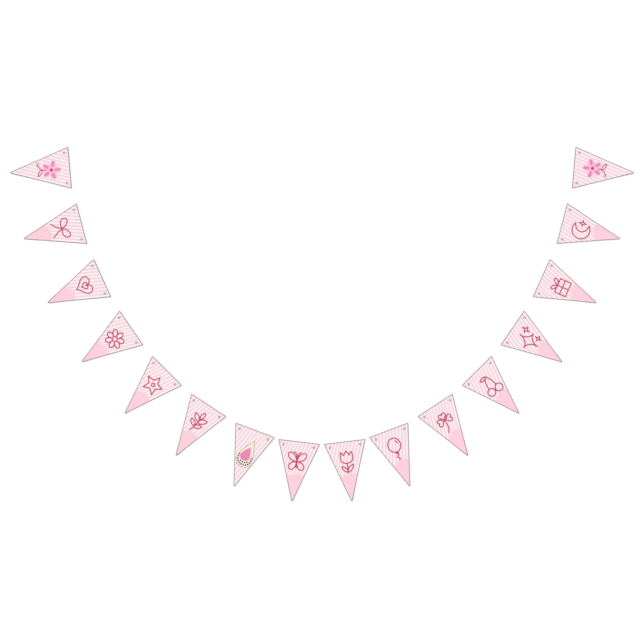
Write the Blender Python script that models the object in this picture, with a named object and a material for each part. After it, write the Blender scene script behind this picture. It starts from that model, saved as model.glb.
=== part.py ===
"""Fabric bunting: sixteen printed cloth pennants, each with two metal eyelets, laid out flat along a swag.

Metres, +Z up. The bunting lies on z = 0 and is centred on X and Y. A pennant's own frame has its origin at the middle
of the top edge, on the surface that it lies on, +X along the top edge and -Y towards the tip.
"""

import math

import bmesh
import bpy
from mathutils import Matrix, Vector
from mathutils.geometry import delaunay_2d_cdt

# Pennant: a triangle with its tip down, measured to the sharp corners of its outline.
PENNANT_WIDTH = 0.150
PENNANT_LENGTH = 0.220
CORNER_RADIUS = 0.0012  # of the two top corners
TIP_RADIUS = 0.0024
CLOTH_THICKNESS = 0.0012

# Eyelet: a rolled metal spool that clamps the cloth, turned about its own Z axis.
EYELET_INSET = 0.0544  # from the pennant's centre line
EYELET_DROP = 0.0154  # below the top edge
BORE_RADIUS = 0.0031
BARREL_RADIUS = 0.00345
FRONT_FLANGE_RADIUS = 0.00465
BACK_FLANGE_RADIUS = 0.0045
FLANGE_THICKNESS = 0.00045
FLANGE_ROUNDING = 0.0003
EYELET_FLOAT = 0.0001  # between the back flange and the surface

# Clearance between the cloth and the eyelet, all round.
FIT_GAP = 0.0003
HOLE_RADIUS = BARREL_RADIUS + FIT_GAP

# How the cloth lies: its top band is propped up by the eyelets' back flanges, its middle is flat, its tip curls up.
BAND_LIFT = EYELET_FLOAT + FLANGE_THICKNESS + FIT_GAP
BAND_END = 0.030
MIDDLE_START = 0.062
MIDDLE_END = 0.135
TIP_LIFT_MEAN = 0.0032
TIP_LIFT_SPREAD = 0.0014
TIP_LIFT_STEP = 2.4  # radians from one pennant to the next, so that no two neighbours curl alike

# One half of the swag, from its end to its middle. The other half is its mirror image.
# out: from the swag's centre line to the middle of the top edge. up: above the lowest top edges.
# turn: degrees between the top edge and the X axis.
HALF_SWAG = (
    {"out": 0.9017, "up": 0.9808, "turn": 85.03},
    {"out": 0.8590, "up": 0.7805, "turn": 75.45},
    {"out": 0.7853, "up": 0.5859, "turn": 65.74},
    {"out": 0.6818, "up": 0.4076, "turn": 55.50},
    {"out": 0.5535, "up": 0.2540, "turn": 44.84},
    {"out": 0.4043, "up": 0.1307, "turn": 33.15},
    {"out": 0.2387, "up": 0.0414, "turn": 20.67},
    {"out": 0.0812, "up": 0.0000, "turn": 6.94},
)

# Fineness of the meshes.
EDGE_STEP = 0.030
ROW_STEP = 0.022
ROW_MARGIN = 0.008
HOLE_MARGIN = 0.004
CORNER_STEPS = 2
HOLE_SIDES = 12
EYELET_SIDES = 12
SMOOTH_BELOW = 40  # degrees between two faces
MERGE_DISTANCE = 1e-6
TRIANGLES_INSIDE = 1  # the kind of triangulation that keeps to the outline


def principled(name, colour, roughness, metallic):
    """A material with the given linear colour, roughness and metallic value."""
    material = bpy.data.materials.new(name)
    material.use_nodes = True
    shader = material.node_tree.nodes["Principled BSDF"]
    shader.inputs["Base Color"].default_value = (*colour, 1.0)
    shader.inputs["Roughness"].default_value = roughness
    shader.inputs["Metallic"].default_value = metallic
    return material


def swag_places():
    """Every pennant's (x, y, turn in radians) from left to right, before the swag is centred."""
    left = [(-row["out"], row["up"], -math.radians(row["turn"])) for row in HALF_SWAG]
    right = [(-x, y, -turn) for x, y, turn in reversed(left)]
    return left + right


def rounded_outline():
    """The pennant's outline, anticlockwise: a triangle with its corners rounded and its edges divided."""
    half = PENNANT_WIDTH / 2
    corners = [Vector((-half, 0)), Vector((0, -PENNANT_LENGTH)), Vector((half, 0))]
    radii = [CORNER_RADIUS, TIP_RADIUS, CORNER_RADIUS]
    points = []
    for i, (corner, radius) in enumerate(zip(corners, radii)):
        before = (corners[i - 1] - corner).normalized()
        after = (corners[(i + 1) % 3] - corner).normalized()
        half_angle = before.angle(after) / 2
        centre = corner + (before + after).normalized() * radius / math.sin(half_angle)
        first = corner + before * radius / math.tan(half_angle) - centre
        sweep = math.pi - 2 * half_angle
        for step in range(CORNER_STEPS + 1):
            angle = sweep * step / CORNER_STEPS
            points.append(centre + Matrix.Rotation(angle, 2) @ first)
    return divided(points)


def divided(loop):
    """The closed loop of points with every side cut into equal parts of at most EDGE_STEP."""
    points = []
    for start, end in zip(loop, loop[1:] + loop[:1]):
        parts = math.ceil((end - start).length / EDGE_STEP)
        points += [start.lerp(end, part / parts) for part in range(parts)]
    return points


def hole_loop(centre):
    """The corners of one punched hole."""
    angles = [2 * math.pi * side / HOLE_SIDES for side in range(HOLE_SIDES)]
    return [centre + HOLE_RADIUS * Vector((math.cos(a), math.sin(a))) for a in angles]


def inner_points(holes):
    """Rows of points across the cloth, clear of its edges and of its holes."""
    points = []
    rows = int(PENNANT_LENGTH / ROW_STEP)
    for row in range(1, rows):
        drop = row * ROW_STEP
        reach = PENNANT_WIDTH / 2 * (1 - drop / PENNANT_LENGTH) - ROW_MARGIN
        if reach < 0:
            continue
        columns = math.ceil(2 * reach / EDGE_STEP)
        for column in range(columns + 1):
            across = reach * (2 * column / columns - 1) if columns else 0.0
            point = Vector((across, -drop))
            if all((point - hole).length > HOLE_RADIUS + HOLE_MARGIN for hole in holes):
                points.append(point)
    return points


def smooth_step(share):
    """Rises from 0 to 1 with a level start and a level end."""
    share = min(max(share, 0.0), 1.0)
    return share * share * (3 - 2 * share)


def lift(drop, tip_lift):
    """How far the underside stands off the surface, at this distance below the top edge."""
    band = BAND_LIFT * (1 - smooth_step((drop - BAND_END) / (MIDDLE_START - BAND_END)))
    curl = max(drop - MIDDLE_END, 0.0) / (PENNANT_LENGTH - MIDDLE_END)
    return band + tip_lift * curl**2


def cloth_mesh(name, tip_lift):
    """The underside of one pennant as a sheet of triangles that face up, with its two holes."""
    holes = [Vector((side * EYELET_INSET, -EYELET_DROP)) for side in (-1, 1)]
    loops = [rounded_outline()] + [hole_loop(hole) for hole in holes]
    points, edges = [], []
    for loop in loops:
        start = len(points)
        points += loop
        edges += [(start + i, start + (i + 1) % len(loop)) for i in range(len(loop))]
    points += inner_points(holes)
    flat, _, faces = delaunay_2d_cdt(points, edges, [], TRIANGLES_INSIDE, MERGE_DISTANCE)[:3]
    sheet = bmesh.new()
    vertices = [sheet.verts.new((p.x, p.y, lift(-p.y, tip_lift))) for p in flat]
    for face in faces:
        middle = sum((flat[i] for i in face), Vector((0, 0))) / len(face)
        if all((middle - hole).length > HOLE_RADIUS for hole in holes):
            sheet.faces.new([vertices[i] for i in face])
    sheet.normal_update()
    turned_down = [face for face in sheet.faces if face.normal.z < 0]
    bmesh.ops.reverse_faces(sheet, faces=turned_down)
    mesh = bpy.data.meshes.new(name)
    sheet.to_mesh(mesh)
    sheet.free()
    return mesh


def eyelet_mesh(metal):
    """A spool: half of its section, as a closed loop in the XZ plane, spun about Z."""
    inner_height = CLOTH_THICKNESS + 2 * FIT_GAP
    height = inner_height + 2 * FLANGE_THICKNESS
    section = (
        (BORE_RADIUS, height - FLANGE_ROUNDING),
        (BORE_RADIUS + FLANGE_ROUNDING, height),
        (FRONT_FLANGE_RADIUS - FLANGE_ROUNDING, height),
        (FRONT_FLANGE_RADIUS, height - FLANGE_THICKNESS),
        (BARREL_RADIUS, height - FLANGE_THICKNESS),
        (BARREL_RADIUS, FLANGE_THICKNESS),
        (BACK_FLANGE_RADIUS, FLANGE_THICKNESS),
        (BACK_FLANGE_RADIUS, 0.0),
        (BORE_RADIUS, 0.0),
    )
    spool = bmesh.new()
    corners = [spool.verts.new((radius, 0.0, z)) for radius, z in section]
    sides = [spool.edges.new(pair) for pair in zip(corners, corners[1:] + corners[:1])]
    bmesh.ops.spin(
        spool,
        geom=corners + sides,
        cent=(0.0, 0.0, 0.0),
        axis=(0.0, 0.0, 1.0),
        angle=2 * math.pi,
        steps=EYELET_SIDES,
        use_merge=True,
    )
    bmesh.ops.recalc_face_normals(spool, faces=spool.faces)
    mesh = bpy.data.meshes.new("eyelet")
    spool.to_mesh(mesh)
    spool.free()
    mesh.shade_smooth()
    mesh.set_sharp_from_angle(angle=math.radians(SMOOTH_BELOW))
    mesh.materials.append(metal)
    return mesh


def linked_object(name, mesh, parent):
    """An object with this mesh, under its parent."""
    made = bpy.data.objects.new(name, mesh)
    bpy.context.collection.objects.link(made)
    made.parent = parent
    return made


def add_pennant(number, place, swag, cloth):
    """One pennant of cloth, lying at its place along the swag."""
    name = f"pennant_{number:02d}"
    tip_lift = TIP_LIFT_MEAN + TIP_LIFT_SPREAD * math.sin(TIP_LIFT_STEP * number)
    pennant = linked_object(name, cloth_mesh(name, tip_lift), swag)
    x, y, turn = place
    pennant.location = (x, y, 0.0)
    pennant.rotation_euler = (0.0, 0.0, turn)
    pennant.data.materials.append(cloth)
    thickness = pennant.modifiers.new("thickness", "SOLIDIFY")
    thickness.thickness = CLOTH_THICKNESS
    thickness.offset = 1.0
    return pennant


def add_eyelet(number, side, mesh, pennant):
    """One eyelet through its hole in a pennant; side is -1 for left and 1 for right."""
    name = f"eyelet_{number:02d}_{'left' if side < 0 else 'right'}"
    eyelet = linked_object(name, mesh, pennant)
    eyelet.location = (side * EYELET_INSET, -EYELET_DROP, EYELET_FLOAT)


def centre_line_y(places):
    """The middle of the swag's reach in Y."""
    outline = rounded_outline()
    reach = [y + p.x * math.sin(turn) + p.y * math.cos(turn) for _, y, turn in places for p in outline]
    return (min(reach) + max(reach)) / 2


def build():
    for leftover in list(bpy.data.objects):
        bpy.data.objects.remove(leftover)
    cloth = principled("printed cotton", (0.95, 0.74, 0.81), 0.85, 0.0)
    nickel = principled("nickel plate", (0.60, 0.59, 0.60), 0.35, 1.0)
    eyelet = eyelet_mesh(nickel)
    places = swag_places()
    swag = linked_object("swag", None, None)
    swag.location = (0.0, -centre_line_y(places), 0.0)
    for number, place in enumerate(places, start=1):
        pennant = add_pennant(number, place, swag, cloth)
        for side in (-1, 1):
            add_eyelet(number, side, eyelet, pennant)


build()
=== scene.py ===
"""Fabric bunting: the looks of sixteen printed cotton pennants, laid on a pale floor and seen from above.

Blender's lengths are metres. A pennant's own flat coordinates are millimetres, x across from its centre line
and drop down from its top edge, and so are the named sizes, where they don't say otherwise. The script
follows the bunting as it is made: cut cloth, print, overlocked edge, eyelets.
"""

import bpy
import numpy as np
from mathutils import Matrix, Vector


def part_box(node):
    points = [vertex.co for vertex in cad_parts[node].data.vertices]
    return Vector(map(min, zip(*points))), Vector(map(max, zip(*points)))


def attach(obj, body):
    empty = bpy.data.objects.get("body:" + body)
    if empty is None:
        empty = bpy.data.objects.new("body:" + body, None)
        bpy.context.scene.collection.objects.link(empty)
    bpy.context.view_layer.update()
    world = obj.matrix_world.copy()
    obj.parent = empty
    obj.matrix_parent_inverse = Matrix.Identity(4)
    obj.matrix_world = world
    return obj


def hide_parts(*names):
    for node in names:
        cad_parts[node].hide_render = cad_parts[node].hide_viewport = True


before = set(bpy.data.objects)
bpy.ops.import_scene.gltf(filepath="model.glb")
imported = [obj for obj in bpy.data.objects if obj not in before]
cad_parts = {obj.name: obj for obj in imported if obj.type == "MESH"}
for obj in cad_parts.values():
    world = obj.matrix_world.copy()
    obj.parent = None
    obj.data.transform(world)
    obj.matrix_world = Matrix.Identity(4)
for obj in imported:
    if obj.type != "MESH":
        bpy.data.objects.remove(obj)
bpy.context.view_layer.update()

# ---- The cut pennants --------------------------------------------------------------------------------------
# Triangles of plain-woven cotton, cut with the warp down the middle, and laid out in a swag with their tips
# outwards. The eyelets' back flanges prop up the top band, the middle lies flat, and the tip and the slack
# edges curl a little.

MM = 0.001  # in metres
PENNANTS = range(1, 17)
CUT_WIDTH, CUT_LENGTH = 150.0, 220.0  # to the sharp corners of the outline
SOLID_THICKNESS = 1.2  # of the frame's own solid, which the thread on the cut edge fills
CLOTH_THICKNESS = 0.8
CLOTH_RAISED = 0.2  # from the solid's underside to the cloth's, because the thread wraps round below it
EDGE_INSET = 0.6  # from the outline, which is the overlocked edge's outside, to the cut edge of the cloth
EYELET_DROP = 15.4  # from the top edge to the eyelets' centres
HALF_TIP_ANGLE = np.arctan(CUT_WIDTH / 2 / CUT_LENGTH)  # radians


def node_centre(name):
    """The middle of a node's box, seen from above, in metres."""
    low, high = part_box(name)
    return np.array([low.x + high.x, low.y + high.y]) / 2


def place_of(number):
    """A pennant's top middle and its two directions, across and down, read from its pair of eyelets."""
    left = node_centre(f"eyelet_{number:02d}_left")
    right = node_centre(f"eyelet_{number:02d}_right")
    across = (right - left) / np.linalg.norm(right - left)
    down = np.array([across[1], -across[0]])
    return (left + right) / 2 - down * EYELET_DROP * MM, across, down


def laid(number, x, drop, height):
    """Flat coordinates and a height, in mm and of one shape, as points in metres where that pennant lies."""
    middle, across, down = place_of(number)
    flat = middle + (x[..., None] * across + drop[..., None] * down) * MM
    return np.concatenate([flat, height[..., None] * MM], axis=-1)


def smooth_step(share):
    """Rises from 0 to 1 with a level start and a level end: three times the square less twice the cube."""
    share = np.clip(share, 0, 1)
    return share**2 * (3 - 2 * share)


TOP_LIFT = 0.85  # of the top band, by the back flanges
TOP_END, MIDDLE_START, MIDDLE_END = 30.0, 62.0, 135.0  # below the top edge; the middle lies flat
RIPPLE_HEIGHT = 0.32  # on average, at the outline
RIPPLE_REACH = 10.0  # inwards, over which it sinks to about a third
RIPPLE_ONSET, RIPPLE_FADE = 25.0, 40.0  # downwards, to set in below the top and to die away at the tip
WAVE_SPAN, SWELL_SPAN = 6.5, 17.0  # downwards, for each radian of the wave and of its slower swell
SIDE_SHIFT, PENNANT_SHIFT = 1.1, 2.1  # radians, so that no two edges ripple alike


def underside(number, x, drop):
    """Height in mm of the cloth's underside: a raised top band that settles to the floor, a tip that curls up
    with the square of the distance past the middle, and a ripple that falls exponentially with the distance
    from the slanted edges. The ripple is 1 more than a wave times its swell, so it never sinks below 0."""
    tip_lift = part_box(f"pennant_{number:02d}")[1].z / MM - SOLID_THICKNESS
    top = TOP_LIFT * (1 - smooth_step((drop - TOP_END) / (MIDDLE_START - TOP_END)))
    curl = tip_lift * (np.maximum(drop - MIDDLE_END, 0) / (CUT_LENGTH - MIDDLE_END)) ** 2
    from_edge = (CUT_WIDTH / 2 * (1 - drop / CUT_LENGTH) - np.abs(x)) * np.cos(HALF_TIP_ANGLE)
    wave = np.sin(drop / WAVE_SPAN + np.sign(x) * SIDE_SHIFT + PENNANT_SHIFT * number)
    swell = np.cos(drop / SWELL_SPAN + number)
    ripple = RIPPLE_HEIGHT * (1 + wave * swell) * np.exp(-np.maximum(from_edge, 0) / RIPPLE_REACH)
    slack = smooth_step((drop - TOP_END) / RIPPLE_ONSET) * smooth_step((CUT_LENGTH - drop) / RIPPLE_FADE)
    return top + curl + ripple * slack


def quad_mesh(name, points, faces):
    """A smooth-shaded mesh of these points, (n, 3), and quads, (m, 4)."""
    mesh = bpy.data.meshes.new(name)
    mesh.vertices.add(len(points))
    mesh.vertices.foreach_set("co", points.ravel())
    mesh.loops.add(faces.size)
    mesh.loops.foreach_set("vertex_index", faces.ravel())
    mesh.polygons.add(len(faces))
    mesh.polygons.foreach_set("loop_start", np.arange(0, faces.size, 4))
    mesh.polygons.foreach_set("use_smooth", np.ones(len(faces), bool))
    mesh.update(calc_edges=True)
    return mesh


def add_values(mesh, name, values, domain="POINT"):
    """A number for every point or face corner of a mesh, or a vector where values is (n, 3)."""
    kind, key = ("FLOAT_VECTOR", "vector") if values.ndim == 2 else ("FLOAT", "value")
    mesh.attributes.new(name, kind, domain).data.foreach_set(key, values.astype(np.float32).ravel())


def sharp_rims(mesh):
    """Marks as sharp the edges that only one face uses, so that a cut edge isn't shaded as if rounded."""
    used = np.empty(len(mesh.loops), np.int32)
    mesh.loops.foreach_get("edge_index", used)
    lone = np.bincount(used, minlength=len(mesh.edges)) == 1
    mesh.attributes.new("sharp_edge", "BOOLEAN", "EDGE").data.foreach_set("value", lone)


def added(mesh, *materials):
    """An object under the mesh's own name, with these materials."""
    for material in materials:
        mesh.materials.append(material)
    made = bpy.data.objects.new(mesh.name, mesh)
    bpy.context.collection.objects.link(made)
    return made


COLUMNS = 70
EVENNESS = 0.75  # of the columns; 1 is fully even
ROW_ENDS = (EDGE_INSET, 30.0, 145.0, 212.4)  # coarse, fine under the motif and the tip's wave, and coarse
ROW_COUNTS = (13, 80, 18)
HOLE_RADIUS = 4.1  # the flanges hide the gap that it leaves round the barrel


def flat_grid():
    """The cloth's grid in flat coordinates: rows across the triangle, each divided between its two edges by a
    cubic, so that the columns lie closest down the middle."""
    spans = zip(ROW_ENDS, ROW_ENDS[1:], ROW_COUNTS)
    drop = np.concatenate([np.linspace(a, b, n, endpoint=False) for a, b, n in spans] + [ROW_ENDS[-1:]])
    reach = CUT_WIDTH / 2 * (1 - drop / CUT_LENGTH) - EDGE_INSET / np.cos(HALF_TIP_ANGLE)
    share = np.linspace(-1, 1, COLUMNS + 1)
    share = share * (EVENNESS + (1 - EVENNESS) * share**2)
    return reach[:, None] * share[None, :], np.repeat(drop[:, None], COLUMNS + 1, axis=1)


def punched(x, drop, faces, hole_x):
    """The faces without those over one punched hole, and the points round the hole moved onto its circle."""
    from_hole = np.hypot(x - hole_x, drop - EYELET_DROP)
    middle = np.hypot(x[faces].mean(axis=1) - hole_x, drop[faces].mean(axis=1) - EYELET_DROP)
    gone = middle < HOLE_RADIUS
    rim = np.intersect1d(faces[gone], faces[~gone])
    pull = HOLE_RADIUS / from_hole[rim]
    x[rim] = hole_x + (x[rim] - hole_x) * pull
    drop[rim] = EYELET_DROP + (drop[rim] - EYELET_DROP) * pull
    return faces[~gone]


def cut_cloth():
    """One pennant's flat points and faces, with its two holes punched where its eyelets are. All sixteen
    share the same cut."""
    x, drop = flat_grid()
    rows, columns = x.shape
    first = (np.arange(rows - 1)[:, None] * columns + np.arange(columns - 1)[None, :]).ravel()
    faces = np.stack([first, first + columns, first + columns + 1, first + 1], axis=1)
    x, drop = x.ravel(), drop.ravel()
    left, right = (node_centre(f"eyelet_01_{side}") for side in ("left", "right"))
    eyelet_inset = np.linalg.norm(right - left) / 2 / MM
    for side in (-1, 1):
        faces = punched(x, drop, faces, side * eyelet_inset)
    used, faces = np.unique(faces, return_inverse=True)
    return x[used], drop[used], faces.reshape(-1, 4)


cut_x, cut_drop, cut_faces = cut_cloth()
cloths = {}
for number in PENNANTS:
    height = underside(number, cut_x, cut_drop) + CLOTH_RAISED + CLOTH_THICKNESS
    mesh = quad_mesh(f"cloth_{number:02d}", laid(number, cut_x, cut_drop, height), cut_faces)
    sharp_rims(mesh)
    add_values(mesh, "flat_mm", np.stack([cut_x, cut_drop, 0 * cut_x], axis=-1))
    cloth = added(mesh)
    thickness = cloth.modifiers.new("thickness", "SOLIDIFY")
    thickness.thickness = CLOTH_THICKNESS * MM
    thickness.offset = -1.0
    thickness.material_offset = 1  # the reverse and the cut edge take the second material
    thickness.material_offset_rim = 1
    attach(cloth, "root")
    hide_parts(f"pennant_{number:02d}")
    cloths[number] = cloth

# ---- The print ---------------------------------------------------------------------------------------------
# Dye printed on the face of the cloth: fine pink stripes parallel to the right-hand edge, a solid pink tip
# with a wavy upper edge on all but the end pennants and one other, and a motif in the middle, drawn in one
# even raspberry line.

MOTIF_CENTRE = 72.0  # below the top edge
LINE_WIDTH = 4.3
FAR = 99.0  # outside, for an ink that a pennant doesn't have
TINY = 1e-9  # instead of 0, to divide by


def turn(count, start=0.0, end=1.0):
    """A count of angles in radians, from start to end, which are in whole turns."""
    return 2 * np.pi * np.linspace(start, end, count)


def curve(x, y):
    """Points, (n, 2), from their two coordinates in mm, across and up from the middle of the motif."""
    return np.stack(np.broadcast_arrays(x, y), axis=-1).astype(float)


def bend(*guides, count=28):
    """The Bezier curve from the first guide point to the last, drawn towards those between: each round
    replaces every two neighbours by the point a share t of the way between them, until one is left."""
    t = np.linspace(0, 1, count)[:, None]
    points = [np.array(guide, float) + 0 * t for guide in guides]
    while len(points) > 1:
        points = [a + (b - a) * t for a, b in zip(points, points[1:])]
    return points[0]


def ring(radius, centre=(0, 0), height=1.0, start=0.0, end=1.0):
    """A circle or an arc of one; height squashes or stretches it upwards."""
    angle = turn(48, start, end)
    return curve(centre[0] + radius * np.cos(angle), centre[1] + height * radius * np.sin(angle))


PETAL_FULLNESS = 0.55  # below 1, so that the petals are broad


def petals(count, outer, inner, centre=(0, 0)):
    """Round petals in one closed line, whose radius follows the size of a half wave, to a power."""
    angle = turn(32 * count + 1)
    swing = np.abs(np.cos(count / 2 * (angle - np.pi / 2))) ** PETAL_FULLNESS
    radius = inner + (outer - inner) * swing
    return curve(centre[0] + radius * np.cos(angle), centre[1] + radius * np.sin(angle))


def leaf(root, tip, fullness=0.3):
    """A leaf: two bends between root and tip, whose guides a quarter and seven tenths of the way along lie to
    either side by a share of its length."""
    root, tip = np.array(root, float), np.array(tip, float)
    side = np.array([root[1] - tip[1], tip[0] - root[0]]) * fullness
    near, far = root * 0.75 + tip * 0.25, root * 0.3 + tip * 0.7
    there, back = bend(root, near + side, far + side, tip), bend(tip, far - side, near - side, root)
    return np.concatenate([there, back])


def mirrored(line):
    """The line's mirror image across the pennant's centre line."""
    return line * np.array([-1, 1])


def both(*lines):
    """The lines and their mirror images."""
    return [*lines, *(mirrored(line) for line in lines)]


def heart(width, centre=(0, 0)):
    """The heart whose x is 16 times the cube of a sine, so that it is 32 wide, and whose y is a sum of four
    cosines, scaled to a width."""
    t = turn(90)
    x = 16 * np.sin(t) ** 3
    y = 13 * np.cos(t) - 5 * np.cos(2 * t) - 2 * np.cos(3 * t) - np.cos(4 * t)
    return curve(centre[0] + x * width / 32, centre[1] + y * width / 32)


def turned(line, share):
    """The line turned anticlockwise about the motif's middle by a share of a whole turn."""
    c, s = np.cos(2 * np.pi * share), np.sin(2 * np.pi * share)
    return line @ np.array([[c, s], [-s, c]])


BURST_POWER = 2.6  # the more, the thinner its points
BURST_BREADTH = 0.8  # of its height


def burst(radius, centre=(0, 0)):
    """A four-pointed sparkle: the cosine across and the sine up, each times its own size to a power."""
    angle = turn(97)
    x, y = (wave * abs(wave) ** BURST_POWER for wave in (np.cos(angle), np.sin(angle)))
    return curve(centre[0] + BURST_BREADTH * radius * x, centre[1] + radius * y)


def draw_bow():
    """A bow: a round knot, with a loop and a tail on either side."""
    loop = bend((2, 5), (22, 40), (52, 24), (36, -12), (3, -2))
    tail = bend((3, -4), (6, -20), (16, -24), (24, -38))
    return [*both(loop, tail), ring(3.5, (0, 1))]


def draw_heart():
    """A heart within a heart."""
    return [heart(62, (0, 2)), heart(24, (0, 3))]


def draw_daisy():
    """A daisy: seven petals round an open middle."""
    return [petals(7, 34, 13), ring(9)]


def draw_star():
    """A star: ten corners, which lie on a large and a small circle by turns, round a ring."""
    angle = turn(11)[:10] + np.pi / 2
    radius = np.tile([36.0, 17.0], 5)
    outline = curve(radius * np.cos(angle), radius * np.sin(angle))
    return [np.concatenate([outline, outline[:1]]), ring(6)]


def draw_sprig():
    """A sprig: a bent stem with five leaves."""
    stem = bend((-10, -40), (-2, -22), (-1, -4), (2, 12))
    leaves = [leaf((2, 12), (6, 40)), leaf((0, -2), (28, 18)), leaf((0, 2), (-24, 24))]
    return [stem, *leaves, leaf((-4, -22), (21, -8)), leaf((-4, -18), (-27, -1))]


def draw_butterfly():
    """A butterfly: an upper wing, a lower wing and a feeler on either side of a straight body."""
    upper = bend((1, 2), (6, 46), (58, 44), (34, -2), (1, 0))
    lower = bend((1, -2), (38, 2), (38, -44), (4, -40), (1, -6))
    feeler = bend((0, 14), (2, 24), (5, 30), (12, 34))
    return [*both(upper, lower, feeler), curve(np.zeros(2), np.array([14, -22]))]


def draw_tulip():
    """A tulip: a cup with three points on a stem, between two leaves."""
    wall = bend((0, -6), (-26, -6), (-24, 16), (-20, 34))
    rim = [bend((-20, 34), (-14, 30), (-10, 22)), bend((-10, 22), (-6, 32), (0, 38))]
    cup = np.concatenate([wall, *rim])
    stem = bend((0, -6), (1, -22), (0, -40))
    leaves = [leaf((0, -38), (22, -12), fullness=0.24), leaf((0, -38), (-20, -16), fullness=0.24)]
    return [*both(cup), stem, *leaves]


def draw_balloon():
    """A balloon: a tall ring with a gleam, a knot, and a string that follows a sine."""
    share = np.linspace(0, 1, 50)
    string = curve(4 * np.sin(3 * np.pi * share), -17 - 24 * share)
    knot = curve(np.array([0, -4, 4, 0]), np.array([-11, -17, -17, -11]))
    gleam = ring(14, (0, 15), height=1.1, start=0.02, end=0.17)
    return [ring(23, (0, 14), height=1.12), knot, string, gleam]


def draw_clover():
    """A clover: one heart turned into three leaves, and a bent stem."""
    lobe = heart(27, (0, 17))
    leaves = [turned(lobe, share) + np.array([0, 6]) for share in (0, 0.25, 0.75)]
    return [*leaves, bend((0, 6), (1, -14), (-2, -28), (-12, -38))]


def draw_cherries():
    """Two cherries, whose stems meet under one leaf."""
    stems = [bend((6, 34), (-8, 24), (-14, 8), (-15, -8)), bend((6, 34), (14, 20), (16, 4), (15, -12))]
    return [*stems, ring(14, (-16, -22)), ring(14, (16, -26)), leaf((6, 34), (-20, 33), fullness=0.26)]


def draw_sparkle():
    """A large sparkle and two small ones."""
    return [burst(38, (-5, -2)), burst(15, (22, 28)), burst(12, (20, -26))]


def draw_gift():
    """A gift: a square box with a crossed ribbon and a loop on either side."""
    box = curve(np.array([-26, 26, 26, -26, -26]), np.array([8, 8, -34, -34, 8]))
    ribbon = curve(np.zeros(2), np.array([8, -34]))
    across = curve(np.array([-26, 26]), np.array([-11, -11]))
    return [box, ribbon, across, *both(bend((0, 8), (8, 36), (36, 34), (20, 8), (0, 8)))]


def draw_moon():
    """A moon: an arc closed by a bend with the same ends, with a sparkle before it."""
    outer = ring(32, (-5, 0), start=0.14, end=0.86)
    inner = bend(outer[-1], (-14, -20), (-16, 0), (-14, 20), outer[0])
    return [outer, inner, burst(13, (19, 0))]


MOTIFS = {
    2: draw_bow,
    3: draw_heart,
    4: draw_daisy,
    5: draw_star,
    6: draw_sprig,
    8: draw_butterfly,
    9: draw_tulip,
    10: draw_balloon,
    11: draw_clover,
    12: draw_cherries,
    13: draw_sparkle,
    14: draw_gift,
    15: draw_moon,
}


def distance_to(line):
    """Distance in mm from each point of the cloth to a drawn line: the nearest place on its nearest piece."""
    here = curve(cut_x, MOTIF_CENTRE - cut_drop)[:, None, :]
    start, step = line[:-1], np.diff(line, axis=0)
    length_squared = np.maximum((step**2).sum(axis=1), TINY)
    along = np.clip(((here - start) * step).sum(axis=-1) / length_squared, 0, 1)
    nearest = start + along[..., None] * step
    return np.sqrt(((here - nearest) ** 2).sum(axis=-1)).min(axis=1)


def stroke(lines, width=LINE_WIDTH):
    """Depth in mm inside a set of drawn lines of this width; negative outside."""
    return width / 2 - np.min([distance_to(line) for line in lines], axis=0)


def fill(loop):
    """Depth in mm inside a closed line; negative outside. A point is inside if a ray from it crosses the line
    an odd number of times."""
    x, y = cut_x[:, None], (MOTIF_CENTRE - cut_drop)[:, None]
    (x0, y0), (x1, y1) = loop[:-1].T, loop[1:].T
    rise = np.where(y1 == y0, TINY, y1 - y0)
    crosses = ((y0 > y) != (y1 > y)) & (x < x0 + (y - y0) / rise * (x1 - x0))
    inside = crosses.sum(axis=1) % 2 == 1
    return np.where(inside, 1, -1) * distance_to(loop)


def blossom_print():
    """The end pennants: a blush blossom of five petals, with a broad rose line along each and a raspberry
    middle, on a raspberry stem with a leaf and a blush bud."""
    middle = np.array([3.0, 5.0])
    flower, bud = petals(5, 34, 13, middle), ring(7, (-23, -41))
    ways = [np.array([np.cos(angle), np.sin(angle)]) for angle in turn(6)[:5] + np.pi / 2]
    spokes = [np.array([middle + 16 * way, middle + 29 * way]) for way in ways]
    stem = bend((2, -16), (1, -28), (-4, -40), (-21, -45))
    stem_and_leaf = [stem, leaf((0, -28), (22, -44), fullness=0.24)]
    return {
        "blush": np.maximum(fill(flower), fill(bud)),
        "rose": stroke(spokes, width=9.0),
        "raspberry": np.maximum(stroke(stem_and_leaf, width=3.6), fill(ring(6.0, middle))),
    }


def spaced(line, pitch):
    """Points a pitch apart along a line, found by its length from its start."""
    way = np.concatenate([[0], np.cumsum(np.hypot(*np.diff(line, axis=0).T))])
    stops = np.arange(pitch / 2, way[-1], pitch)
    return np.stack([np.interp(stops, way, line[:, 0]), np.interp(stops, way, line[:, 1])], axis=-1)


PAISLEY_RIM = 1.4  # of dark line round the cream
SEED_RADIUS, SEED_PITCH = 2.9, 8.4


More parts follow.
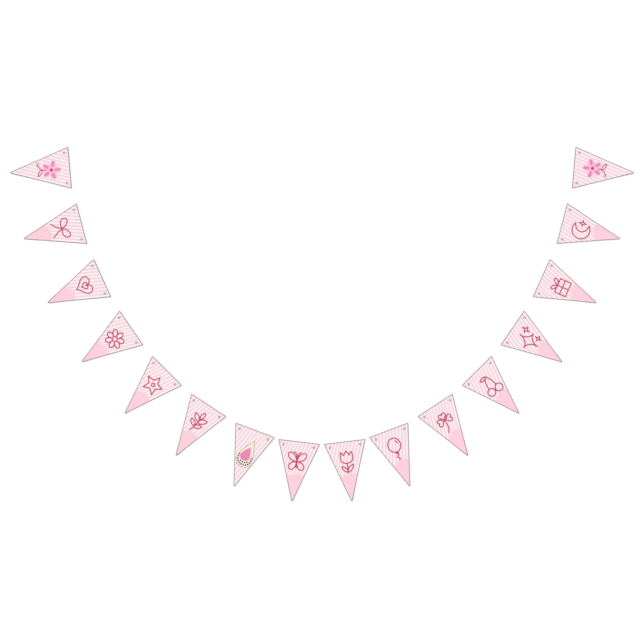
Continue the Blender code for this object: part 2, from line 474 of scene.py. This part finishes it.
def paisley_print():
    """The one other picture: a paisley, a cream drop with a bent tip and a thin dark rim, a pink drop inside
    it, and two rows of dark seeds round its foot. The rows follow the feet of two smaller copies of it."""
    right = bend((13, 37), (21, 4), (50, -70), (0, -68))
    left = bend((0, -68), (-48, -68), (-32, -6), (-6, 8), (13, 37))
    outline = np.concatenate([right, left])
    inner = outline * np.array([0.6, 0.5]) + np.array([-1.0, -10.0])
    outer_row, inner_row = outline * 0.82 + np.array([0.4, -3.6]), outline * 0.62 + np.array([0.0, -8.4])
    rows = [outer_row[outer_row[:, 1] < -24], inner_row[inner_row[:, 1] < -43]]
    seeds = np.concatenate([spaced(row, SEED_PITCH) for row in rows])
    from_seeds = [np.hypot(cut_x - x, MOTIF_CENTRE - cut_drop - y) for x, y in seeds]
    return {
        "umber": fill(outline),
        "cream": fill(outline) - PAISLEY_RIM,
        "rose": fill(inner),
        "plum": SEED_RADIUS - np.min(from_seeds, axis=0),
    }


PICTURES = {1: blossom_print, 7: paisley_print, 16: blossom_print}
INKS = {  # in the order in which they are printed, each over the one before
    "tip": "#F7CAD7",
    "umber": "#8F6A70",
    "blush": "#F6B9D0",
    "cream": "#EFE3D0",
    "rose": "#E781B3",
    "raspberry": "#C4446F",
    "plum": "#502838",
}
TIP_START = 118.3  # below the top edge, where the middle of the tip's wave meets the centre line
TIP_SLOPE = 0.12  # that the wave climbs to the right
TIP_WAVE, TIP_WAVE_LENGTH = 4.1, 57.3  # from its middle to a crest, and from crest to crest
TIP_CREST = 4.1  # from the centre line to the nearest crest


def printed(number):
    """Depth in mm of every point of a pennant's cloth inside each ink; negative outside. The solid tip starts
    at a sloping cosine wave."""
    if number in PICTURES:
        return PICTURES[number]()
    wave = TIP_WAVE * np.cos(2 * np.pi * (cut_x - TIP_CREST) / TIP_WAVE_LENGTH)
    return {"tip": cut_drop - (TIP_START - TIP_SLOPE * cut_x - wave), "raspberry": stroke(MOTIFS[number]())}


def linear(code):
    """An sRGB hex colour as linear red, green, blue and alpha, by the sRGB standard's own curve."""
    parts = np.array([int(code[i : i + 2], 16) for i in (1, 3, 5)]) / 255
    parts = np.where(parts <= 0.04045, parts / 12.92, ((parts + 0.055) / 1.055) ** 2.4)
    return (*parts, 1.0)


def new_material(name):
    """A node material with its Principled shader."""
    material = bpy.data.materials.new(name)
    material.use_nodes = True
    return material, material.node_tree.nodes["Principled BSDF"]


def node(material, kind, inputs=(), **properties):
    """Adds a node with its properties and gives its outputs. Inputs go by name or number: an output socket is
    linked, and anything else becomes the input's own value. A Mix node takes numbers as 2 and 3, and colours
    as 6 and 7; a Map Range node's limits are 1 and 2, and it gives 0 to 1 unless 3 and 4 say otherwise."""
    made = material.node_tree.nodes.new(kind)
    for name, value in properties.items():
        setattr(made, name, value)
    for key, value in dict(inputs).items():
        if isinstance(value, bpy.types.NodeSocket):
            material.node_tree.links.new(value, made.inputs[key])
        else:
            made.inputs[key].default_value = value
    return made.outputs


YARN_PITCH = 0.8  # the real yarns are near 0.5, too fine to show even close up, so they are drawn coarser
YARN_RELIEF = 0.2  # from a crown to the hollow beside it
FLATNESS = 0.35  # the power that flattens the top of a yarn along its length
SLUB_SIZE = 1.1  # of the thick places in a yarn
SLUB_HEIGHT = 0.6  # of a crown


def woven(material, place, x, drop):
    """The height of a plain weave's yarns. The warp lies over the weft where the product of their two sines
    is above 0. The upper yarn's crown is its own sine across it, times the other's to a small power along it,
    and a fine noise adds the slubs."""
    slubs = node(
        material, "ShaderNodeTexNoise", {"Vector": place, "Scale": 1 / (SLUB_SIZE * MM), "Detail": 2.0}
    )[0]
    sines = []
    for way in (x, drop):
        phase = node(material, "ShaderNodeMath", {0: way, 1: np.pi / YARN_PITCH}, operation="MULTIPLY")[0]
        sines.append(node(material, "ShaderNodeMath", {0: phase}, operation="SINE")[0])
    warp, weft = (node(material, "ShaderNodeMath", {0: sine}, operation="ABSOLUTE")[0] for sine in sines)
    crowns = []
    for across, along in ((weft, warp), (warp, weft)):
        flattened = node(material, "ShaderNodeMath", {0: along, 1: FLATNESS}, operation="POWER")[0]
        crowns.append(node(material, "ShaderNodeMath", {0: across, 1: flattened}, operation="MULTIPLY")[0])
    crossing = node(material, "ShaderNodeMath", {0: sines[0], 1: sines[1]}, operation="MULTIPLY")[0]
    over = node(material, "ShaderNodeMath", {0: crossing, 1: 0.0}, operation="GREATER_THAN")[0]
    crown = node(material, "ShaderNodeMix", {0: over, 2: crowns[0], 3: crowns[1]}, data_type="FLOAT")[0]
    return node(material, "ShaderNodeMath", {0: slubs, 1: SLUB_HEIGHT, 2: crown}, operation="MULTIPLY_ADD")[0]


STRIPE_PITCH = 12.42  # across, for a pale stripe and a deep one
STRIPE_SHIFT = 0.4  # along the top edge, from the centre line leftwards to the middle of a deep stripe
STRIPE_LEAN = np.tan(HALF_TIP_ANGLE)
STRIPE_BLUR = 0.12  # of the wave's height, on either side of its middle, where the two colours blend
PALE_STRIPE, DEEP_STRIPE = linear("#FAE9EE"), linear("#EBD1D8")
INK_CREEP = 0.3  # that the dye creeps further along the crown of a yarn than into the hollows


def dyed(material, x, drop, yarns):
    """The colour of the print: stripes, deep where a cosine of the way across them is above 0, and over them
    each ink where the cloth lies inside its drawn shape. The yarns' crowns make the ink's edge ragged."""
    slant = node(material, "ShaderNodeMath", {0: drop, 1: STRIPE_LEAN, 2: x}, operation="MULTIPLY_ADD")[0]
    to_phase = {1: 2 * np.pi / STRIPE_PITCH, 2: STRIPE_SHIFT * 2 * np.pi / STRIPE_PITCH}
    phase = node(material, "ShaderNodeMath", {0: slant, **to_phase}, operation="MULTIPLY_ADD")[0]
    swing = node(material, "ShaderNodeMath", {0: phase}, operation="COSINE")[0]
    stripe = node(material, "ShaderNodeMapRange", {0: swing, 1: -STRIPE_BLUR, 2: STRIPE_BLUR})[0]
    colour = node(material, "ShaderNodeMix", {0: stripe, 6: PALE_STRIPE, 7: DEEP_STRIPE}, data_type="RGBA")[2]
    for ink, code in INKS.items():
        depth = node(material, "ShaderNodeAttribute", attribute_name=ink)["Fac"]
        depth = node(
            material, "ShaderNodeMath", {0: yarns, 1: INK_CREEP, 2: depth}, operation="MULTIPLY_ADD"
        )[0]
        laid_on = node(material, "ShaderNodeMapRange", {0: depth, 1: 0.5 * INK_CREEP, 2: INK_CREEP})[0]
        colour = node(
            material, "ShaderNodeMix", {0: laid_on, 6: colour, 7: linear(code)}, data_type="RGBA"
        )[2]
    return colour


BARE_COTTON = linear("#FDF7F8")
CLOUD_SIZE = 26.0  # of the faint unevenness of the bleach and the dye
HOLLOW_PAINTED_SHADE = 0.931  # painted shade: the share of the colour left deep in the hollows between the yarns
CROWN_PAINTED_LIGHT, CLOUD_SHADE = 0.05, 0.05  # what the painted light on a yarn's crown and a cloud of uneven bleach and dye add to it


def printed_cotton(name, faded):
    """Plain-woven cotton with its print: matt, with a dry bloom at a low angle, a fine bump from the yarns,
    painted shade deep in the hollows between the yarns and painted light on their crowns, and a little paler
    in large faint clouds. Faded is 0 on the face and more on the reverse, where the dye only shows through."""
    material, shader = new_material(name)
    place = node(material, "ShaderNodeTexCoord")["Object"]
    flat = node(material, "ShaderNodeAttribute", attribute_name="flat_mm")["Vector"]
    x, drop = node(material, "ShaderNodeSeparateXYZ", {0: flat})[:2]
    yarns = woven(material, place, x, drop)
    clouds = node(
        material, "ShaderNodeTexNoise", {"Vector": place, "Scale": 1 / (CLOUD_SIZE * MM), "Detail": 3.0}
    )[0]
    colour = dyed(material, x, drop, yarns)
    if faded:
        colour = node(material, "ShaderNodeMix", {0: faded, 6: colour, 7: BARE_COTTON}, data_type="RGBA")[2]
    # painted shade between the yarns and painted light on their crowns, then the clouds of uneven bleach and
    # dye
    shade = node(
        material, "ShaderNodeMath", {0: yarns, 1: CROWN_PAINTED_LIGHT, 2: HOLLOW_PAINTED_SHADE}, operation="MULTIPLY_ADD"
    )[0]
    shade = node(
        material, "ShaderNodeMath", {0: clouds, 1: CLOUD_SHADE, 2: shade}, operation="MULTIPLY_ADD"
    )[0]
    colour = node(material, "ShaderNodeVectorMath", {0: colour, "Scale": shade}, operation="SCALE")[0]
    bump = node(
        material, "ShaderNodeBump", {"Strength": 0.5, "Distance": YARN_RELIEF * MM, "Height": yarns}
    )[0]
    material.node_tree.links.new(colour, shader.inputs["Base Color"])
    material.node_tree.links.new(bump, shader.inputs["Normal"])
    shader.inputs["Roughness"].default_value = 0.88
    shader.inputs["Sheen Weight"].default_value = 0.08
    shader.inputs["Sheen Roughness"].default_value = 0.5
    return material


face_cotton = printed_cotton("printed cotton face", faded=0.0)
reverse_cotton = printed_cotton("printed cotton reverse", faded=0.7)
for number, cloth in cloths.items():
    depths = printed(number)
    for ink in INKS:
        add_values(cloth.data, ink, depths.get(ink, np.full(len(cut_x), -FAR)))
    cloth.data.materials.append(face_cotton)
    cloth.data.materials.append(reverse_cotton)

# ---- The overlocked edges ----------------------------------------------------------------------------------
# Grey spun-polyester thread, sewn over the raw edge all round each pennant by an overlock machine. The loops
# lie side by side and slant a little, so the edge is a flat ribbed band, narrower in the corners.

BAND_WIDTH, BAND_HEIGHT = 2.25, 1.32
BAND_INSET = 0.12  # from the pennant's outline
BAND_FLOAT = 0.02  # above the surface
BAND_SIDES = 8
BAND_SQUARENESS = 0.7  # the power of a sine that makes an oval, and below 1 a flatter one
CORNER_RADII = (1.2, 2.4, 1.2)  # top left, tip, top right
CORNER_SHARE = 0.94  # of the way to a corner's bisector, the most that the band is wide
BISECTOR_SHARE = 0.99  # of that way, the furthest that any of its points lies
STITCH_PITCH = 1.5
STITCH_SLANT = 0.22  # stitches that a loop's ends lie before and behind its middle
STEPS_A_STITCH = 4
LOOP_SWELL = 0.12  # of the band's half width, added by the middle of a loop
GROOVE_HEIGHT, LOOP_RISE = 0.84, 0.3  # of the upper side's height, between two loops, and what a loop adds
INNER_RISE = 0.3  # that lifts the band's inner side from its mid height to the face of the cloth
INNER_NARROWNESS = 6  # the power of a cosine that keeps this lift to the inner side


def unit(vectors):
    """Vectors, (n, 2), each divided by its own length."""
    return vectors / np.linalg.norm(vectors, axis=1)[:, None]


def whole_stitches(way):
    """The number of steps in the whole number of stitches that fits a length best."""
    return STEPS_A_STITCH * max(1, round(way / STITCH_PITCH))


def edge_path():
    """Places round the outline, anticlockwise, in flat coordinates: an arc round each corner and the straight
    run after it, each a whole number of stitches long. Also gives the way inwards at each place, and how far
    inwards the cloth reaches before the corner's bisector."""
    half = CUT_WIDTH / 2
    corners = np.array([(-half, 0.0), (0.0, CUT_LENGTH), (half, 0.0)])
    radius = np.array(CORNER_RADII)
    to_before = unit(np.roll(corners, 1, axis=0) - corners)
    to_after = unit(np.roll(corners, -1, axis=0) - corners)
    half_angle = np.arccos((to_before * to_after).sum(axis=1)) / 2
    cut_back = radius / np.tan(half_angle)
    centre = corners + unit(to_before + to_after) * (radius / np.sin(half_angle))[:, None]
    starts = corners + to_before * cut_back[:, None]
    ends = corners + to_after * cut_back[:, None]
    places, inwards, reaches = [], [], []
    for here, there in ((0, 1), (1, 2), (2, 0)):
        arc, run = radius[here] * (np.pi - 2 * half_angle[here]), np.linalg.norm(starts[there] - ends[here])
        counts = whole_stitches(arc), whole_stitches(run)
        bent, straight = (np.linspace(0, 1, count, endpoint=False)[:, None] for count in counts)
        spoke = unit(starts[here] - centre[here] + (ends[here] - starts[here]) * bent)
        places += [centre[here] + spoke * radius[here], ends[here] + (starts[there] - ends[here]) * straight]
        inwards += [-spoke, (centre[here] - ends[here]) / radius[here] + 0 * straight]
        near = radius[here] + run * straight[:, 0] * np.tan(half_angle[here])
        far = radius[there] + run * (1 - straight[:, 0]) * np.tan(half_angle[there])
        reaches += [radius[here] + 0 * bent[:, 0], np.minimum(near, far)]
    return np.concatenate(places), np.concatenate(inwards), np.concatenate(reaches)


def grid_mesh(name, points, close_rows=False, close_columns=False):
    """A mesh of quads over a grid of points, (rows, columns, 3); a closed direction joins its last line to
    its first. Faces point to the side from which the columns run anticlockwise of the rows."""
    rows, columns = points.shape[:2]
    row = np.arange(rows if close_rows else rows - 1)[:, None]
    column = np.arange(columns if close_columns else columns - 1)[None, :]
    next_row, next_column = (row + 1) % rows, (column + 1) % columns
    corners = [row * columns + column, next_row * columns + column]
    corners += [next_row * columns + next_column, row * columns + next_column]
    faces = np.stack(corners, axis=-1).reshape(-1, 4)
    return quad_mesh(name, points.reshape(-1, 3), faces)


def overlocked(number):
    """The band round one pennant: a flat oval carried along its outline, with its inner side lifted to lie on
    the cloth. Each loop of thread is one arch of a sine, which swells the oval, and the slant shifts the
    arches from its outer to its inner side."""
    place, inward, reach = edge_path()
    step = np.arange(len(place) + 1)[:, None]
    angle = turn(BAND_SIDES + 1)[None, :]
    along = step / STEPS_A_STITCH + STITCH_SLANT * np.cos(angle)
    loop = np.abs(np.sin(np.pi * along))
    thread = np.stack(np.broadcast_arrays(along, angle, loop), axis=-1)
    angle, loop = angle[:, :-1], loop[:-1, :-1]

    width = np.minimum(BAND_WIDTH, CORNER_SHARE * reach)[:, None]
    inset = width / 2 * (1 - np.cos(angle) * (1 + LOOP_SWELL * loop)) + BAND_INSET
    inset = np.minimum(inset, BISECTOR_SHARE * reach[:, None])
    flat = place[:, None, :] + inward[:, None, :] * inset[..., None]
    rise = np.sign(np.sin(angle)) * np.abs(np.sin(angle)) ** BAND_SQUARENESS
    above = BAND_HEIGHT / 2 * (1 + rise * np.where(rise > 0, GROOVE_HEIGHT + LOOP_RISE * loop, 1))
    above = above + INNER_RISE * np.maximum(-np.cos(angle), 0) ** INNER_NARROWNESS
    on = place + inward * width
    height = underside(number, on[:, 0], on[:, 1])[:, None] + above + BAND_FLOAT
    points = laid(number, flat[..., 0], flat[..., 1], height)
    mesh = grid_mesh(f"overlock_{number:02d}", points, close_rows=True, close_columns=True)
    corners = [thread[:-1, :-1], thread[1:, :-1], thread[1:, 1:], thread[:-1, 1:]]
    add_values(mesh, "thread", np.stack(corners, axis=2).reshape(-1, 3), "CORNER")
    return mesh


STRANDS_A_STITCH = 3
TWISTS_A_STITCH = 2
STRAND_TURNS = 9.0  # radians of twist to a radian round the band
TWIST_HEIGHT = 0.25  # of a strand
FLUFF_SIZE = 0.4  # of the loose fibres
FLUFF_HEIGHT = 0.5  # of a strand
THREAD_RELIEF = 0.15  # from the top of a strand to the groove beside it
STRAND_LIGHT = 0.3  # of the painted light that a loop gives
GROOVE_LIGHT, CROWN_LIGHT = 0.15, 1.45  # at which the thread has its darkest painted shade and its palest painted light
# the thread's grey with painted shade in the grooves and painted light on the crowns
GROOVE_SHADE_GREY, CROWN_HIGHLIGHT_GREY = linear("#68565D"), linear("#B4A0A7")


def spun_thread():
    """Spun polyester: matt, a little hairy, with painted shade in the grooves between the loops and painted
    light on their crowns. Each loop shows three strands side by side, as the size of a sine along the edge,
    and their twist, as a sine across them, both painted as light and shade and bumped."""
    material, shader = new_material("grey overlock thread")
    place = node(material, "ShaderNodeTexCoord")["Object"]
    thread = node(material, "ShaderNodeAttribute", attribute_name="thread")["Vector"]
    along, angle, loop = node(material, "ShaderNodeSeparateXYZ", {0: thread})
    fluff = node(
        material, "ShaderNodeTexNoise", {"Vector": place, "Scale": 1 / (FLUFF_SIZE * MM), "Detail": 2.0}
    )[0]
    strands = node(
        material, "ShaderNodeMath", {0: along, 1: np.pi * STRANDS_A_STITCH}, operation="MULTIPLY"
    )[0]
    strands = node(material, "ShaderNodeMath", {0: strands}, operation="SINE")[0]
    strands = node(material, "ShaderNodeMath", {0: strands}, operation="ABSOLUTE")[0]
    twist = node(
        material, "ShaderNodeMath", {0: along, 1: 2 * np.pi * TWISTS_A_STITCH}, operation="MULTIPLY"
    )[0]
    twist = node(
        material, "ShaderNodeMath", {0: angle, 1: STRAND_TURNS, 2: twist}, operation="MULTIPLY_ADD"
    )[0]
    twist = node(material, "ShaderNodeMath", {0: twist}, operation="SINE")[0]
    yarn = node(
        material, "ShaderNodeMath", {0: twist, 1: TWIST_HEIGHT, 2: strands}, operation="MULTIPLY_ADD"
    )[0]
    yarn = node(material, "ShaderNodeMath", {0: fluff, 1: FLUFF_HEIGHT, 2: yarn}, operation="MULTIPLY_ADD")[0]
    # painted light and shade: palest on the crowns of the loops and strands, darkest in the grooves between
    # them
    light = node(material, "ShaderNodeMath", {0: yarn, 1: STRAND_LIGHT, 2: loop}, operation="MULTIPLY_ADD")[0]
    light = node(material, "ShaderNodeMapRange", {0: light, 1: GROOVE_LIGHT, 2: CROWN_LIGHT})[0]
    colour = node(material, "ShaderNodeMix", {0: light, 6: GROOVE_SHADE_GREY, 7: CROWN_HIGHLIGHT_GREY}, data_type="RGBA")[2]
    bump = node(
        material, "ShaderNodeBump", {"Strength": 0.6, "Distance": THREAD_RELIEF * MM, "Height": yarn}
    )[0]
    material.node_tree.links.new(colour, shader.inputs["Base Color"])
    material.node_tree.links.new(bump, shader.inputs["Normal"])
    shader.inputs["Roughness"].default_value = 0.9
    shader.inputs["Sheen Weight"].default_value = 0.1
    return material


thread_grey = spun_thread()
for number in PENNANTS:
    edge = added(overlocked(number), thread_grey)
    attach(edge, "root")

# ---- The eyelets -------------------------------------------------------------------------------------------
# Nickel-plated brass, two to a pennant: a barrel is pushed through the punched hole and its end is rolled
# over at the back. The front flange is domed, with a painted highlight on its rim, and the throat is darker.

EYELET_SIDES = 32
EYELET_SECTION = (  # radius, height and share of painted highlight, from the throat over the front to the back and up the bore
    (3.10, 1.90, 0.0),
    (3.13, 2.25, 0.1),
    (3.28, 2.50, 0.2),
    (3.52, 2.64, 0.4),
    (3.85, 2.69, 0.7),
    (4.15, 2.64, 0.9),
    (4.42, 2.49, 1.0),
    (4.60, 2.24, 1.0),
    (4.65, 1.92, 0.7),
    (4.56, 1.77, 0.2),
    (3.45, 1.92, 0.0),
    (3.45, 0.72, 0.0),
    (4.40, 0.86, 0.2),
    (4.48, 0.74, 0.4),
    (4.50, 0.48, 0.6),
    (4.36, 0.20, 0.7),
    (4.05, 0.02, 0.7),
    (3.60, 0.00, 0.5),
    (3.28, 0.16, 0.2),
    (3.10, 0.55, 0.0),
)
MARK_SIZE = 1.4  # of the marks that the press leaves
FAINT_MARKS, STRONG_MARKS = 0.3, 0.7  # of the noise, at which the metal is smoothest and roughest
SMOOTHEST, ROUGHEST = 0.22, 0.42
MARK_LIGHT = 0.3  # of the brightness that the full painted highlight gives
DULL_LIGHT, BRIGHT_LIGHT = 0.15, 1.15  # at which the metal has its dullest and its brightest colour
DULL_NICKEL, HIGHLIGHT_NICKEL = linear("#6B5A60"), linear("#D6C2C9")


def nickel_plate():
    """Bright nickel on brass: a grey metal that mirrors its surroundings softly, with small marks from the
    press, and a painted highlight, given with the section, that is brightest on the front flange's rim and
    least in the throat and the bore."""
    material, shader = new_material("nickel plate")
    place = node(material, "ShaderNodeTexCoord")["Object"]
    painted_highlight = node(material, "ShaderNodeAttribute", attribute_name="painted_highlight")["Fac"]
    marks = node(
        material, "ShaderNodeTexNoise", {"Vector": place, "Scale": 1 / (MARK_SIZE * MM), "Detail": 4.0}
    )[0]
    limits = {1: FAINT_MARKS, 2: STRONG_MARKS, 3: SMOOTHEST, 4: ROUGHEST}
    rough = node(material, "ShaderNodeMapRange", {0: marks, **limits})[0]
    bright = node(
        # painted highlight: brightest on the front flange's rim, least in the throat and the bore, varied by
        # the press marks
        material, "ShaderNodeMath", {0: marks, 1: MARK_LIGHT, 2: painted_highlight}, operation="MULTIPLY_ADD"
    )[0]
    bright = node(material, "ShaderNodeMapRange", {0: bright, 1: DULL_LIGHT, 2: BRIGHT_LIGHT})[0]
    colour = node(
        material, "ShaderNodeMix", {0: bright, 6: DULL_NICKEL, 7: HIGHLIGHT_NICKEL}, data_type="RGBA"
    )[2]
    material.node_tree.links.new(rough, shader.inputs["Roughness"])
    material.node_tree.links.new(colour, shader.inputs["Base Color"])
    shader.inputs["Metallic"].default_value = 1.0
    return material


def rolled_eyelet(name, centre, base):
    """A surface of revolution: the section turned clockwise about the bore's axis, so it faces outwards."""
    radius, height, painted_highlight = np.array(EYELET_SECTION).T[:, None, :]
    angle = turn(EYELET_SIDES, 1, 1 / EYELET_SIDES)[:, None]
    x = centre[0] + radius * MM * np.cos(angle)
    y = centre[1] + radius * MM * np.sin(angle)
    points = np.stack([x, y, base + height * MM + 0 * angle], axis=-1)
    mesh = grid_mesh(name, points, close_rows=True, close_columns=True)
    add_values(mesh, "painted_highlight", (painted_highlight + 0 * angle).ravel())
    return mesh


nickel = nickel_plate()
for number in PENNANTS:
    for side in ("left", "right"):
        name = f"eyelet_{number:02d}_{side}"
        eyelet = added(rolled_eyelet(f"rolled_{name}", node_centre(name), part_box(name)[0].z), nickel)
        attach(eyelet, "root")
        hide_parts(name)

# ---- The floor, the light and the camera -------------------------------------------------------------------
# A plain white floor under an even white sky, with one broad soft lamp from the upper left. The camera hangs
# straight above the swag, as far off as a short telephoto lens needs to frame it.

FLOOR_SIZE = 200.0  # metres, so wide that no sky shows past it from more than about 13 degrees up
FLOOR_GAP = 0.3 * MM  # below the part, so that no face of it lies in the floor
SKY_STRENGTH = 0.84
LAMP_STRENGTH = 0.98
LAMP_SPREAD = 0.6  # radians across, for soft shadows
LAMP_LEAN = (-28, -30)  # degrees about X and Y, from straight down
CAMERA_HEIGHT = 5.4435  # metres
LENS, SENSOR = 85.0, 36.0
FRAME_CENTRE = (0.0004, 0.0074)  # metres from the middle of the swag's box

floor_paint, shader = new_material("matt white floor")
shader.inputs["Base Color"].default_value = linear("#FBFBFB")
shader.inputs["Roughness"].default_value = 0.95
floor_corners = np.array([[(-1, -1, 0), (1, -1, 0)], [(-1, 1, 0), (1, 1, 0)]], float)
floor = added(grid_mesh("floor", FLOOR_SIZE / 2 * floor_corners), floor_paint)
floor.location.z = -FLOOR_GAP

world = bpy.data.worlds.new("even white sky")
world.use_nodes = True
world.node_tree.nodes["Background"].inputs["Color"].default_value = (1.0, 1.0, 1.0, 1.0)
world.node_tree.nodes["Background"].inputs["Strength"].default_value = SKY_STRENGTH
bpy.context.scene.world = world

lamp = bpy.data.objects.new("soft lamp", bpy.data.lights.new("soft lamp", "SUN"))
lamp.data.energy = LAMP_STRENGTH
lamp.data.angle = LAMP_SPREAD
lamp.rotation_euler = (*np.radians(LAMP_LEAN), 0.0)
bpy.context.collection.objects.link(lamp)

camera = bpy.data.objects.new("camera", bpy.data.cameras.new("camera"))
camera.data.lens = LENS
camera.data.sensor_width = SENSOR
camera.location = (*FRAME_CENTRE, CAMERA_HEIGHT)
bpy.context.collection.objects.link(camera)
bpy.context.scene.camera = camera
bpy.context.scene.view_settings.view_transform = "Standard"
